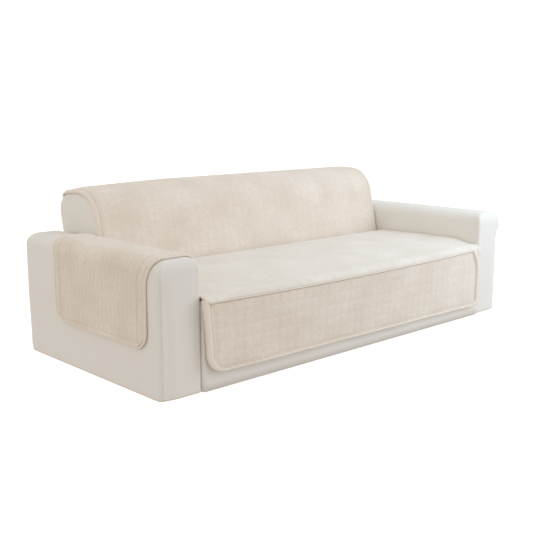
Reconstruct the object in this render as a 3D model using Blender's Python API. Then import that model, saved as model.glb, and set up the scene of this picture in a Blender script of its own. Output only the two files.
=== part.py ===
"""A quilted sofa slipcover in four bound panels, on the plain sofa that it fits.

Metres, Z up. The sofa faces -Y. The shapes are worked out in the sofa's own frame: X from its
middle, Y back from the front plane of the arms, Z from the floor. One empty then carries the lot,
so that the origin is at the middle of the whole thing's footprint.
"""

import math

import bmesh
import bpy
from mathutils import Vector

# ---- the sofa
SOFA_WIDTH = 2.314
ARM_DEPTH = 1.033
ARM_WIDTH = 0.199
ARM_HEIGHT = 0.549
ARM_ROUND = 0.054  # the two long top edges
END_ROUND = 0.034  # the top edges at front and rear
UPRIGHT_ROUND = 0.020
FOOT_ROUND = 0.003  # the edges next to the floor
SEAT_TOP = 0.3876
SEAT_CROWN = 0.008  # how much higher the seat is half-way back
SEAT_SAG = 0.007  # how far its front edge dips at mid-width
SEAT_BOW = 0.020  # how far its front edge swells forward at mid-width
CORNER_REACH = 0.150  # how far the soft front corners reach
CORNER_SQUASH = 0.72  # how much of the nose's height they lose
FRONT_REACH = 0.250  # how far back the sag and the bow reach
NOSE_ROUND = 0.024
NOSE_CENTRE_Y = 0.002
NOSE_RELIEF = 0.004  # the filling stays this far inside the cloth's nose
REAR_ROUND = 0.018
BASE_ROUND = 0.014  # the base's upright front edges, beside the arms
BASE_TOP_Z = 0.325  # the seat swells out above this
BASE_PROUD = 0.008  # how far the base stands in front of the arms
BACK_FRONT_Y = 0.7015  # the backrest's upright lower front
BACK_REAR_Y = 1.066
BACK_HEIGHT = 0.7445
BACK_LEAN = 0.20  # metres back for each metre up
BACK_FRONT_ROUND = 0.150
BACK_REAR_ROUND = 0.062
BACK_HALF_LENGTH = 0.946
BACK_END_ROUND = 0.022
BACK_DIP = 0.012  # how much lower the filling has sunk at the left end
BACK_DIP_REACH = 0.600
CREVICE_WIDTH = 0.026  # between seat and backrest, where two panels are tucked in
CREVICE_FLOOR = 0.335
SOLID_GAP = 0.0003  # between solids that touch
SEWN_GAP = 0.0009  # between a panel and its binding

# ---- the cloth
PANEL_THICK = 0.008
SEAM_THICK = 0.006  # where the seam to the binding draws the panel down
BINDING_WIDTH = 0.018
SEAT_BINDING_WIDTH = 0.014
SKIRT_BINDING_WIDTH = 0.022
BINDING_THICK = 0.0115
RESTING_GAP = 0.0004  # under cloth that lies on the sofa
EDGE_GAP = 0.002  # under cloth that goes round an edge
CHANNEL_PITCH = 0.045  # the arm panel's sewn channels
CHANNEL_DEPTH = 0.003
ARM_DROP_INSIDE = 0.075
ARM_DROP_OUTSIDE = 0.306  # below the long edge's round
ARM_HEM_GAP = 0.003  # how far the outside hem stands off
ARM_FLAP_FRONT_Y = 0.068
ARM_FLAP_REAR_Y = 0.763
ARM_TOP_FRONT_Y = 0.034
ARM_TOP_REAR_Y = 0.782
ARM_INSIDE_REAR_Y = 0.692  # in front of the backrest
ARM_CORNER_OUTSIDE = 0.075
ARM_CORNER_INSIDE = 0.050
TUCK_Z = 0.345  # where the back and seat panels end in the crevice
BACK_DROP_REAR = 0.160
BACK_PANEL_HALF_LENGTH = 0.9482  # measured round the backrest's ends
BACK_CORNER = 0.030
SEAT_PANEL_HALF_LENGTH = 0.954
SEAT_CORNER = 0.055
SKIRT_LEFT_X = -0.969
SKIRT_RIGHT_X = 0.930
SKIRT_HEM_Z = 0.067  # at mid-width
SKIRT_HEM_TILT = 0.007  # it hangs lower to the right, metres for each metre
SKIRT_BACK_Y = -0.0235
SKIRT_CORNER_LEFT = 0.105
SKIRT_CORNER_RIGHT = 0.068
SKIRT_SHOULDERS = (0.010, -0.066)  # how far its top corners stand to the left or right
SHOULDER_DROP = 0.110  # where its sides are upright again
SHOULDER_REACH = 0.250
SKIRT_WAVE = 0.003  # it hangs a little unevenly

# ---- worked out from them
QUARTER = math.pi / 2
INNER_X = SOFA_WIDTH / 2 - ARM_WIDTH
SEAT_HALF_LENGTH = INNER_X - SOLID_GAP
SEAT_REAR_Y = BACK_FRONT_Y - CREVICE_WIDTH
SEAM_Z = SEAT_TOP - NOSE_ROUND
SKIRT_DROP = SEAM_Z - SKIRT_HEM_Z
ARM_PANEL_WIDTH = ARM_FLAP_REAR_Y - ARM_FLAP_FRONT_Y
CORNER_STEPS = 4  # in each quarter of a round corner
FRONTMOST_Y = NOSE_CENTRE_Y - NOSE_ROUND - EDGE_GAP - BINDING_THICK - SEAT_BOW
REARMOST_Y = BACK_REAR_Y + EDGE_GAP + BINDING_THICK
ARM_COVER_PROUD = ARM_HEM_GAP + BINDING_THICK

# ---- colours, linear
UPHOLSTERY = (0.84, 0.81, 0.76)
QUILT = (0.78, 0.68, 0.56)
TAPE = (0.74, 0.63, 0.51)


# ---- small sums


def smooth(x, low, high):
    """0 below low, 1 above high, and an even slope between them."""
    t = min(max((x - low) / (high - low), 0.0), 1.0)
    return t * t * (3.0 - 2.0 * t)


def between(a, b, t):
    return a + (b - a) * t


def spread(low, high, steps):
    """Evenly spaced values from low to high, both included."""
    return [between(low, high, k / steps) for k in range(steps + 1)]


class Path:
    """A flat path of straight runs and arcs, read by its length.

    Each run is (length, turn, steps). The turn is the angle that it swings to the left, and
    outward is +1 where the outer side of the body is to the right of the path, or else -1.
    """

    def __init__(self, start, heading, runs, outward):
        self.outward = outward
        self.runs = []
        reach, point = 0.0, Vector(start)
        for length, turn, steps in runs:
            self.runs.append((reach, length, turn, steps, point, heading))
            point = self.walk(point, heading, length, turn, length)
            heading += turn
            reach += length
        self.length = reach

    @staticmethod
    def walk(point, heading, length, turn, local):
        if not turn:
            return point + local * Vector((math.cos(heading), math.sin(heading)))
        radius = length / turn
        swung = heading + turn * local / length
        shift = (math.sin(swung) - math.sin(heading), math.cos(heading) - math.cos(swung))
        return point + radius * Vector(shift)

    def at(self, reach):
        """The point at that length along the path, and the unit vector outward."""
        for start, length, turn, _, point, heading in self.runs:
            if reach <= start + length:
                break
        local = min(max(reach - start, 0.0), length)
        beyond = reach - start - local
        swung = heading + turn * local / length
        ahead = Vector((math.cos(swung), math.sin(swung)))
        place = self.walk(point, heading, length, turn, local) + beyond * ahead
        return place, self.outward * Vector((ahead.y, -ahead.x))

    def start_of(self, run):
        return self.runs[run][0]

    def stations(self):
        """The lengths at which a mesh along the path needs points."""
        found = [0.0]
        for start, length, _, steps, _, _ in self.runs:
            found += [start + length * (k + 1) / steps for k in range(steps)]
        return found


# ---- the sections that the cloth follows


def arm_path():
    """Up an arm's inner side, over its top and down its outer side, in (X, Z)."""
    bend = (ARM_ROUND * QUARTER, QUARTER, 5)
    runs = (
        (ARM_DROP_INSIDE, 0.0, 2),
        bend,
        (ARM_WIDTH - 2 * ARM_ROUND, 0.0, 1),
        bend,
        (ARM_DROP_OUTSIDE, 0.0, 3),
    )
    start = (-INNER_X, ARM_HEIGHT - ARM_ROUND - ARM_DROP_INSIDE)
    return Path(start, QUARTER, runs, outward=1)


def back_path(inset=0.0):
    """Up the backrest's leaning front, over its top and down its rear, in (Y, Z)."""
    lean = math.atan(BACK_LEAN)
    round_front = BACK_FRONT_ROUND - inset
    round_rear = BACK_REAR_ROUND - inset
    face_rise = BACK_HEIGHT - inset - round_front * (1 - math.sin(lean)) - TUCK_Z
    start_y = BACK_FRONT_Y + inset
    top_start_y = start_y + face_rise * BACK_LEAN + round_front * math.cos(lean)
    runs = (
        (face_rise / math.cos(lean), 0.0, 3),
        (round_front * (QUARTER - lean), lean - QUARTER, 6),
        (BACK_REAR_Y - BACK_REAR_ROUND - top_start_y, 0.0, 1),
        (round_rear * QUARTER, -QUARTER, 4),
        (BACK_DROP_REAR, 0.0, 2),
    )
    return Path((start_y, TUCK_Z), QUARTER - lean, runs, outward=-1)


def seat_path():
    """Up out of the crevice, forward over the seat and round its nose, in (Y, Z)."""
    runs = (
        (SEAT_TOP - REAR_ROUND - TUCK_Z, 0.0, 1),
        (REAR_ROUND * QUARTER, QUARTER, 3),
        (SEAT_REAR_Y - REAR_ROUND - NOSE_CENTRE_Y - FRONT_REACH, 0.0, 4),
        (FRONT_REACH, 0.0, 7),
        (NOSE_ROUND * QUARTER, QUARTER, 4),
    )
    return Path((SEAT_REAR_Y, TUCK_Z), QUARTER, runs, outward=1)


ARM = arm_path()
BACK = back_path()
SEAT = seat_path()


# ---- the cloth's undersides: each turns (along, down) on a panel, and a lift off it, to a point


def on_arm(along, down, lift):
    """The panel is wider on the arm's top than on its outer side, and shorter inside."""
    place, out = ARM.at(down)
    bend_end = ARM.start_of(4)
    flap = smooth(down, ARM.start_of(3), bend_end + ARM_ROUND)
    front = between(ARM_TOP_FRONT_Y, ARM_FLAP_FRONT_Y, flap)
    rear = between(ARM_TOP_REAR_Y, ARM_FLAP_REAR_Y, flap)
    rear = between(ARM_INSIDE_REAR_Y, rear, smooth(down, ARM.start_of(1), ARM.start_of(2)))
    rounding = min(abs(out.x), abs(out.y)) * math.sqrt(2)
    gap = between(RESTING_GAP, EDGE_GAP, rounding)
    gap += (ARM_HEM_GAP - RESTING_GAP) * smooth(down, bend_end, ARM.length)
    place = place + (gap + lift) * out
    return Vector((place.x, between(front, rear, along / ARM_PANEL_WIDTH), place.y))


def dipped(x, y, z):
    """A point of the backrest, lower towards its left end where the filling has sunk."""
    sunk = BACK_DIP * (1.0 - smooth(x, -BACK_HALF_LENGTH, BACK_DIP_REACH - BACK_HALF_LENGTH))
    share = max(z - TUCK_Z, 0.0) / (BACK_HEIGHT - TUCK_Z)
    return Vector((x, y, z - sunk * share))


def on_back(along, down, lift):
    """Its two ends turn down round the ends of the backrest."""
    place, out = BACK.at(down)
    over_top = smooth(down, BACK.start_of(1) - 0.05, BACK.start_of(1))
    over_top -= smooth(down, BACK.start_of(4), BACK.start_of(4) + 0.05)
    flat_half = BACK_HALF_LENGTH - BACK_END_ROUND
    turn = max(abs(along) - flat_half, 0.0) / BACK_END_ROUND
    gap = EDGE_GAP if turn else between(RESTING_GAP, EDGE_GAP, over_top)
    reach = BACK_END_ROUND + gap + lift
    place = place + (reach * math.cos(turn) - BACK_END_ROUND) * out
    x = math.copysign(min(abs(along), flat_half) + reach * math.sin(turn), along)
    return dipped(x, place.x, place.y)


def seat_shape(along, place):
    """A point of the flat seat section with the seat's crown, sag, bow and soft front corners."""
    across = 1.0 - (along / SEAT_HALF_LENGTH) ** 2
    front = across * (1.0 - smooth(place.x, 0.0, FRONT_REACH))
    half_way = math.sin(math.pi * min(max(place.x / SEAT_REAR_Y, 0.0), 1.0))
    crowned = place.y + (SEAT_CROWN * half_way if place.y > SEAM_Z else 0.0)
    from_corner = math.hypot(SEAT_HALF_LENGTH - abs(along), max(place.x, 0.0))
    squash = CORNER_SQUASH * (1.0 - smooth(from_corner, 0.02, CORNER_REACH))
    z = crowned - squash * max(crowned - SEAM_Z, 0.0) - SEAT_SAG * front
    return Vector((along, place.x - SEAT_BOW * front, z))


def on_seat(along, down, lift):
    place, out = SEAT.at(down)
    edge = smooth(down, SEAT.start_of(3) - 0.05, SEAT.start_of(3) + 0.05)
    edge += 1.0 - smooth(down, SEAT.start_of(2), SEAT.start_of(2) + 0.05)
    gap = between(RESTING_GAP, EDGE_GAP, min(edge, 1.0))
    return seat_shape(along, place) + (gap + lift) * Vector((0.0, out.x, out.y))


def on_skirt(along, down, lift):
    """Hangs from the seat panel's front edge down to a straight hem."""
    share = down / SKIRT_DROP
    high = max(1.0 - down / SHOULDER_DROP, 0.0) ** 2
    to_left = 1.0 - smooth(along, SKIRT_LEFT_X, SKIRT_LEFT_X + SHOULDER_REACH)
    to_right = smooth(along, SKIRT_RIGHT_X - SHOULDER_REACH, SKIRT_RIGHT_X)
    x = along + high * (SKIRT_SHOULDERS[1] * to_right - SKIRT_SHOULDERS[0] * to_left)
    seam = seat_shape(x, SEAT.at(SEAT.length)[0])
    wave = (math.sin(9.0 * along + 0.6) + 0.6 * math.sin(21.0 * along + 2.0)) / 1.6
    bow = SEAT_BOW * (1.0 - (along / SEAT_HALF_LENGTH) ** 2)
    y = SKIRT_BACK_Y - bow * (1.0 - share) - SKIRT_WAVE * share * wave - lift
    hem_z = SKIRT_HEM_Z - SKIRT_HEM_TILT * along
    return Vector((x, y, between(seam.z - RESTING_GAP, hem_z, share)))


def back_columns():
    """Where the backrest and its cloth both have points along them, closer where it dips."""
    flat_half = BACK_HALF_LENGTH - BACK_END_ROUND
    return spread(-flat_half, BACK_DIP_REACH - BACK_HALF_LENGTH, 8) + [0.0, 0.4, flat_half]


# ---- meshes


def clear_scene():
    for thing in list(bpy.data.objects):
        bpy.data.objects.remove(thing, do_unlink=True)


def finish_of(name, colour, roughness):
    material = bpy.data.materials.new(name)
    material.use_nodes = True
    shader = material.node_tree.nodes["Principled BSDF"]
    shader.inputs["Base Color"].default_value = (*colour, 1.0)
    shader.inputs["Roughness"].default_value = roughness
    shader.inputs["Metallic"].default_value = 0.0
    return material


def add_solid(name, points, faces, colour, roughness, carrier):
    """A closed mesh with its faces outward, shaded smooth but for its sharp edges."""
    mesh = bpy.data.meshes.new(name)
    mesh.from_pydata([tuple(point) for point in points], [], faces)
    bm = bmesh.new()
    bm.from_mesh(mesh)
    bmesh.ops.recalc_face_normals(bm, faces=bm.faces)
    bm.to_mesh(mesh)
    bm.free()
    mesh.shade_smooth()
    mesh.set_sharp_from_angle(angle=math.radians(40))
    mesh.materials.append(finish_of(name + "_finish", colour, roughness))
    thing = bpy.data.objects.new(name, mesh)
    bpy.context.scene.collection.objects.link(thing)
    thing.parent = carrier
    return thing


def loft(rings, closed=False):
    """Points and faces of a skin over rings of points; open ends are capped."""
    size = len(rings[0])
    points = [point for ring in rings for point in ring]
    faces = []
    for r in range(len(rings) if closed else len(rings) - 1):
        here = r * size
        there = (r + 1) % len(rings) * size
        for k in range(size):
            after = (k + 1) % size
            faces.append((here + k, here + after, there + after, there + k))
    if not closed:
        faces.append(tuple(range(size)))
        faces.append(tuple(range(len(points) - size, len(points))))
    return points, faces


def rounded_rectangle(half_x, half_y, radius):
    """Points round a rectangle with round corners, anticlockwise."""
    ring = []
    for corner in range(4):
        centre_x = (half_x - radius) * (1, -1, -1, 1)[corner]
        centre_y = (half_y - radius) * (1, 1, -1, -1)[corner]
        for k in range(CORNER_STEPS + 1):
            angle = QUARTER * (corner + k / CORNER_STEPS)
            ring.append((centre_x + radius * math.cos(angle), centre_y + radius * math.sin(angle)))
    return ring


# ---- the sofa


def add_arm(name, middle_x, carrier):
    """An upholstered box: rings from the floor up, drawn in round its bottom and top edges."""
    half_x, half_y = ARM_WIDTH / 2, ARM_DEPTH / 2
    levels = [(FOOT_ROUND, FOOT_ROUND, 0.0), (0.0, 0.0, FOOT_ROUND)]
    for k in range(6):
        swing = QUARTER * k / 5
        draw_in = 1.0 - math.cos(swing)
        height = ARM_HEIGHT - ARM_ROUND * (1.0 - math.sin(swing))
        levels.append((ARM_ROUND * draw_in, END_ROUND * draw_in, height))
    rings = []
    for inset_x, inset_y, height in levels:
        radius = max(UPRIGHT_ROUND - inset_y / 2, 0.003)
        plan = rounded_rectangle(half_x - inset_x, half_y - inset_y, radius)
        rings.append([(middle_x + x, half_y + y, height) for x, y in plan])
    return add_solid(name, *loft(rings), UPHOLSTERY, 0.55, carrier)


def add_seat(carrier):
    """Base and seat in one: its section is swept from arm to arm."""
    filling = [down for down in SEAT.stations() if down > 0.0]
    outer = (0.3, 0.55, 0.75, 0.86, 0.91, 0.95, 0.98)
    half = [share * SEAT_HALF_LENGTH for share in outer]
    half += [SEAT_HALF_LENGTH - BASE_ROUND * 0.3, SEAT_HALF_LENGTH]
    rings = []
    for along in [-x for x in reversed(half)] + [0.0] + half:
        from_end = min((SEAT_HALF_LENGTH - abs(along)) / BASE_ROUND, 1.0)
        base_y = BASE_ROUND * (1.0 - math.sqrt(1.0 - (1.0 - from_end) ** 2)) - BASE_PROUD
        seam = seat_shape(along, SEAT.at(SEAT.length)[0])
        ring = [(along, BACK_FRONT_Y - SOLID_GAP, z) for z in (0.0, CREVICE_FLOOR)]
        ring.append((along, SEAT_REAR_Y, CREVICE_FLOOR))
        for down in filling:
            place, out = SEAT.at(down)
            relief = NOSE_RELIEF * smooth(down, SEAT.start_of(4) - 0.06, SEAT.start_of(4))
            ring.append(seat_shape(along, place) - relief * Vector((0.0, out.x, out.y)))
        ring.append((along, seam.y + NOSE_RELIEF, between(BASE_TOP_Z, seam.z, 0.5)))
        ring += [(along, base_y, BASE_TOP_Z - SEAT_SAG), (along, base_y, 0.0)]
        rings.append(ring)
    return add_solid("sofa_seat", *loft(rings), UPHOLSTERY, 0.55, carrier)


def add_backrest(carrier):
    """Its section is swept from end to end, drawn in round both ends."""
    ends = [(BACK_END_ROUND * (1.0 - math.cos(a)), BACK_HALF_LENGTH - BACK_END_ROUND * (1.0 - math.sin(a)))
            for a in reversed(spread(0.0, QUARTER, 3))]
    middle = [(0.0, along) for along in back_columns()[1:-1]]
    left = [(inset, -along) for inset, along in ends]
    rings = []
    for inset, along in left + middle + list(reversed(ends)):
        path = back_path(inset)
        ring = [Vector((along, BACK_FRONT_Y + inset, 0.0))]
        for down in path.stations()[:-2]:
            place, _ = path.at(down)
            ring.append(dipped(along, place.x, place.y))
        ring.append(Vector((along, BACK_REAR_Y - inset, 0.0)))
        rings.append(ring)
    return add_solid("sofa_backrest", *loft(rings), UPHOLSTERY, 0.55, carrier)


# ---- the slipcover


def panel_grid(low, high, rows, keep, left_rounds, right_rounds, edges, columns):
    """A panel's points as (along, down): straight columns that end on its rounded outline.

    rows are the lengths at which the surface needs points, and those between the two in keep
    stay. The rounds are the outline's corner radii at the start and the end of the columns. edges
    are what the binding takes at the side, the start and the end.
    """
    side_edge, start_edge, end_edge = edges
    left, right = low + side_edge, high - side_edge
    reaches = [max(rounds) - side_edge for rounds in (left_rounds, right_rounds)]
    swing = [1.0 - math.cos(QUARTER * k / CORNER_STEPS) for k in range(CORNER_STEPS)]
    alongs = [left + reaches[0] * s for s in swing]
    alongs += [c for c in columns if left + reaches[0] < c < right - reaches[1]]
    alongs += [right - reaches[1] * s for s in reversed(swing)]
    grid = []
    for along in alongs:
        on_left = along - left < right - along
        rounds = left_rounds if on_left else right_rounds
        from_side = along - left if on_left else right - along
        ends = []
        for radius, edge in zip(rounds, (start_edge, end_edge)):
            radius = max(radius - max(edge, side_edge), 0.0)
            short = max(radius - from_side, 0.0)
            ends.append(edge + radius - math.sqrt(radius * radius - short * short))
        first, last = rows[0] + ends[0], rows[-1] - ends[1]
        column = []
        for row in rows:
            if row < keep[0]:
                row = between(keep[0], first, (keep[0] - row) / (keep[0] - rows[0]))
            elif row > keep[1]:
                row = between(keep[1], last, (row - keep[1]) / (rows[-1] - keep[1]))
            column.append((along, row))
        grid.append(column)
    return grid


def rim_of(grid, straight):
    """The grid's border as (column, row) numbers, in order round it from the first corner.

    Where the surface is straight along the sofa, the start and end edges need only their curves.
    """
    columns, rows = len(grid), len(grid[0])
    start = [(i, 0) for i in range(columns)]
    end = [(i, rows - 1) for i in range(columns - 1, -1, -1)]
    if straight:
        start, end = (
            [(i, j) for i, j in edge if i <= CORNER_STEPS or i >= columns - 1 - CORNER_STEPS]
            for edge in (start, end)
        )
    right = [(columns - 1, j) for j in range(1, rows - 1)]
    left = [(0, j) for j in range(rows - 2, 0, -1)]
    return start + right + end + left


def add_panel(name, grid, surface, relief, carrier):
    """A quilted sheet: its underside is on the surface, its face is raised by its thickness."""
    columns, rows = len(grid), len(grid[0])
    under = [surface(*grid[i][j], 0.0) for i in range(columns) for j in range(rows)]
    face = []
    for i in range(columns):
        for j in range(rows):
            rim = i in (0, columns - 1) or j in (0, rows - 1)
            lift = SEAM_THICK if rim else PANEL_THICK + relief(*grid[i][j])
            face.append(surface(*grid[i][j], lift))
    above = columns * rows
    faces = []
    for i in range(columns - 1):
        for j in range(rows - 1):
            a, b = i * rows + j, (i + 1) * rows + j
            faces.append((a, a + 1, b + 1, b))
            faces.append((above + a, above + b, above + b + 1, above + a + 1))
    rim = [i * rows + j for i, j in rim_of(grid, straight=False)]
    for a, b in zip(rim, rim[1:] + rim[:1]):
        faces.append((a, b, above + b, above + a))
    return add_solid(name, under + face, faces, QUILT, 0.9, carrier)


def add_binding(name, route, surface, width, closed, carrier):
    """A rolled tape along a route of (along, down) points, on the route's outer side."""
    section = (
        (SEWN_GAP, 0.0),
        (SEWN_GAP, PANEL_THICK),
        (0.3 * width, BINDING_THICK),
        (0.75 * width, BINDING_THICK),
        (width, 0.5 * BINDING_THICK),
        (0.9 * width, 0.0),
    )
    rings = []
    count = len(route)
    for k, here in enumerate(route):
        here = Vector(here)
        before = Vector(route[k - 1]) if closed or k else here
        after = Vector(route[(k + 1) % count]) if closed or k < count - 1 else here
        ways = [(b - a).normalized() for a, b in ((before, here), (here, after)) if b != a]
        sides = [Vector((way.y, -way.x)) for way in ways]
        out = sum(sides, Vector((0.0, 0.0))).normalized()
        out = out / out.dot(sides[0])
        rings.append([surface(*(here + reach * out), lift) for reach, lift in section])
    return add_solid(name, *loft(rings, closed), TAPE, 0.85, carrier)


def plain(along, down):
    return 0.0


def channels(along, down):
    """Ridges down the arm panel, between its rows of stitching."""
    return CHANNEL_DEPTH * (0.5 - 0.5 * math.cos(2 * math.pi * along / CHANNEL_PITCH)) - CHANNEL_DEPTH / 2


def add_arm_cover(carrier):
    edge = BINDING_WIDTH
    corners = (ARM_CORNER_INSIDE, ARM_CORNER_OUTSIDE)
    grid = panel_grid(
        0.0, ARM_PANEL_WIDTH, ARM.stations(), (ARM.start_of(1), ARM.start_of(4) + 0.2),
        corners, corners, (edge, edge, edge),
        [k * CHANNEL_PITCH / 2 for k in range(int(2 * ARM_PANEL_WIDTH / CHANNEL_PITCH) + 1)],
    )
    add_panel("arm_panel", grid, on_arm, channels, carrier)
    route = [grid[i][j] for i, j in rim_of(grid, straight=True)]
    add_binding("arm_binding", route, on_arm, edge, True, carrier)


def add_back_cover(carrier):
    edge = BINDING_WIDTH
    half = BACK_PANEL_HALF_LENGTH
    corners = (BACK_CORNER, BACK_CORNER)
    grid = panel_grid(
        -half, half, BACK.stations(), (BACK.start_of(1) / 3, BACK.start_of(4) + 0.08),
        corners, corners, (edge, edge, edge), back_columns(),
    )
    add_panel("back_panel", grid, on_back, plain, carrier)
    route = [grid[i][j] for i, j in rim_of(grid, straight=False)]
    add_binding("back_binding", route, on_back, edge, True, carrier)


def add_seat_cover(carrier):
    edge = SEAT_BINDING_WIDTH
    half = SEAT_PANEL_HALF_LENGTH
    corners = (edge, SEAT_CORNER)
    grid = panel_grid(
        -half, half, SEAT.stations(), (SEAT.start_of(1), SEAT.start_of(4) - 0.07),
        corners, corners, (edge, edge, edge), spread(-half, half, 20),
    )
    add_panel("seat_panel", grid, on_seat, plain, carrier)
    route = [grid[i][j] for i, j in rim_of(grid, straight=False)]
    add_binding("seat_binding", route, on_seat, edge, True, carrier)


def add_skirt(carrier):
    edge = SKIRT_BINDING_WIDTH
    rows = [share * SKIRT_DROP for share in (0.0, 0.09, 0.19, 0.32, 0.46, 0.6, 1.0)]
    grid = panel_grid(
        SKIRT_LEFT_X, SKIRT_RIGHT_X, rows, (0.0, rows[-2]),
        (0.0, SKIRT_CORNER_LEFT), (0.0, SKIRT_CORNER_RIGHT),
        (edge, 0.0, edge), spread(SKIRT_LEFT_X, SKIRT_RIGHT_X, 24),
    )
    add_panel("skirt_panel", grid, on_skirt, plain, carrier)
    columns = len(grid)
    route = [grid[columns - 1][j] for j in range(len(rows))]
    route += [grid[i][-1] for i in range(columns - 2, -1, -1)]
    route += [grid[0][j] for j in range(len(rows) - 2, -1, -1)]
    add_binding("skirt_binding", route, on_skirt, edge, False, carrier)


def main():
    clear_scene()
    carrier = bpy.data.objects.new("sofa_and_slipcover", None)
    bpy.context.scene.collection.objects.link(carrier)
    carrier.location = (ARM_COVER_PROUD / 2, -(FRONTMOST_Y + REARMOST_Y) / 2, 0.0)
    arm_middle = INNER_X + ARM_WIDTH / 2
    add_arm("sofa_arm_left", -arm_middle, carrier)
    add_arm("sofa_arm_right", arm_middle, carrier)
    add_seat(carrier)
    add_backrest(carrier)
    add_arm_cover(carrier)
    add_back_cover(carrier)
    add_seat_cover(carrier)
    add_skirt(carrier)


main()
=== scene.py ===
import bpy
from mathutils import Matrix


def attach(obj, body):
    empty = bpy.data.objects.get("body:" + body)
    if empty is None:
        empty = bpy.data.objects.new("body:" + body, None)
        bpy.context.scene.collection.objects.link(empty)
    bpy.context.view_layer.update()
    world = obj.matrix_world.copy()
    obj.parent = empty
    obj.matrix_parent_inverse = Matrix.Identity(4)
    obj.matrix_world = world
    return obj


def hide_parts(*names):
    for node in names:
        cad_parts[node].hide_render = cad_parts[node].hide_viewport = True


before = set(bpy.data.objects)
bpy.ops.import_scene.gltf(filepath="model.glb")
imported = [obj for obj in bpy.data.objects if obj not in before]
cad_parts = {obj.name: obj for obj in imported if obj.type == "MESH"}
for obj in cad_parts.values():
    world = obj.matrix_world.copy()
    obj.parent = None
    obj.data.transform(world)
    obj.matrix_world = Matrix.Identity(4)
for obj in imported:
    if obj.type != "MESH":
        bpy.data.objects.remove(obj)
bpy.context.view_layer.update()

import math

import bmesh
import bpy
from mathutils import Matrix, Vector, noise

# Lengths are in metres. Shapes are worked out in the sofa's own frame, X from its middle, Y back
# from the front of the arms and Z up, and moved to the part's frame once they are finished.
toPart = Vector((0.00725, -0.512, 0.0))

sofa = {
    "width": 2.314,
    "armWidth": 0.199,
    "armDepth": 1.033,
    "armHeight": 0.549,
    "solidGap": 0.0003,
}
innerX = sofa["width"] / 2 - sofa["armWidth"]
quarter = math.pi / 2

cloth = {
    "thick": 0.008,
    "seamThick": 0.0075,  # where a seam draws it down
    "seamFade": 0.005,
    "grooveWidth": 0.0022,  # of a line sewn beside a binding
    "grooveDepth": 0.0012,
    "unevenness": 0.35,  # of the quilting, as a share of its depth
    "rollThick": 0.0085,  # a rolled binding, and how much it grows with its width
    "rollSwell": 0.18,
    "rollSquare": 0.8,  # 1 makes its section an ellipse, 0 a box
    "rollSteps": 16,
    "sharpest": 70.0,  # degrees; the cut edges under the bindings are sharper and stay crisp
    "sewnGap": 0.0005,
    "restingGap": 0.0004,  # under cloth that lies on the sofa
    "edgeGap": 0.002,  # under cloth that goes round an edge
}


def smooth(x, low, high):
    t = min(max((x - low) / (high - low), 0.0), 1.0)
    return t * t * (3.0 - 2.0 * t)


def between(a, b, t):
    return a + (b - a) * t


def hump(x, middle, width):  # 1 at the middle, falling off over that width
    return math.exp(-(((x - middle) / width) ** 2))


def wander(x, y, size, seed):  # soft unevenness from -1 to 1, that wide
    return noise.noise(Vector((x / size, y / size, seed)))


def addObject(name, data):
    item = bpy.data.objects.new(name, data)
    bpy.context.scene.collection.objects.link(item)
    return item


# camera

camera = {
    "place": (-2.9795, -3.0518, 1.1176),
    "down": 10.6405,  # degrees
    "aside": 43.0926,
    "lens": 57.6254,
}


def setCamera():
    data = bpy.data.cameras.new("camera")
    data.lens, data.sensor_width, data.sensor_fit = camera["lens"], 36.0, "HORIZONTAL"
    eye = addObject("camera", data)
    eye.location = camera["place"]
    eye.rotation_euler = (quarter - math.radians(camera["down"]), 0.0, -math.radians(camera["aside"]))
    bpy.context.scene.camera = eye
    print("camera set")


# materials


def linear(hexColour):
    parts = [int(hexColour[k:k + 2], 16) / 255 for k in (1, 3, 5)]
    return tuple(p / 12.92 if p <= 0.04045 else ((p + 0.055) / 1.055) ** 2.4 for p in parts) + (1.0,)


# A link from a node is from its first output. A Mix node's colours are its inputs 6 and 7, and
# its output 2
def addNode(tree, kind, settings=None, links=None):
    node = tree.nodes.new("ShaderNode" + kind)
    for key, value in (settings or {}).items():
        if isinstance(key, str) and hasattr(node, key):
            setattr(node, key, value)
        else:
            node.inputs[key].default_value = value
    for key, source in (links or {}).items():
        socket = source if isinstance(source, bpy.types.NodeSocket) else source.outputs[0]
        tree.links.new(socket, node.inputs[key])
    return node


times, plus, absolute = [{"operation": name} for name in ("MULTIPLY", "ADD", "ABSOLUTE")]


def newMaterial(name):
    material = bpy.data.materials.new(name)
    material.use_nodes = True
    material.node_tree.nodes.clear()
    return material, material.node_tree


def finishMaterial(material, settings, links=None):
    shader = addNode(material.node_tree, "BsdfPrincipled", settings, links)
    addNode(material.node_tree, "OutputMaterial", links={"Surface": shader})
    return material


upholstery = {
    "light": "#EFECE6",
    "shade": "#E9E4DC",
    # a thin tan line of painted shade along the arms' foot, where the bottom edge rounds under
    "footShade": "#CDB493",
    "footShadeHeight": 0.005,
    "footShadeWidths": (0.001, 0.003),  # to each side: where it is full, and where it has faded out
    "cloudsPerMetre": 3.0,
    "slackPerMetre": 9.0,
    "grain": 0.0016,  # 1.2 mm pebbles, drawn a little coarser so that they show
}


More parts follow.
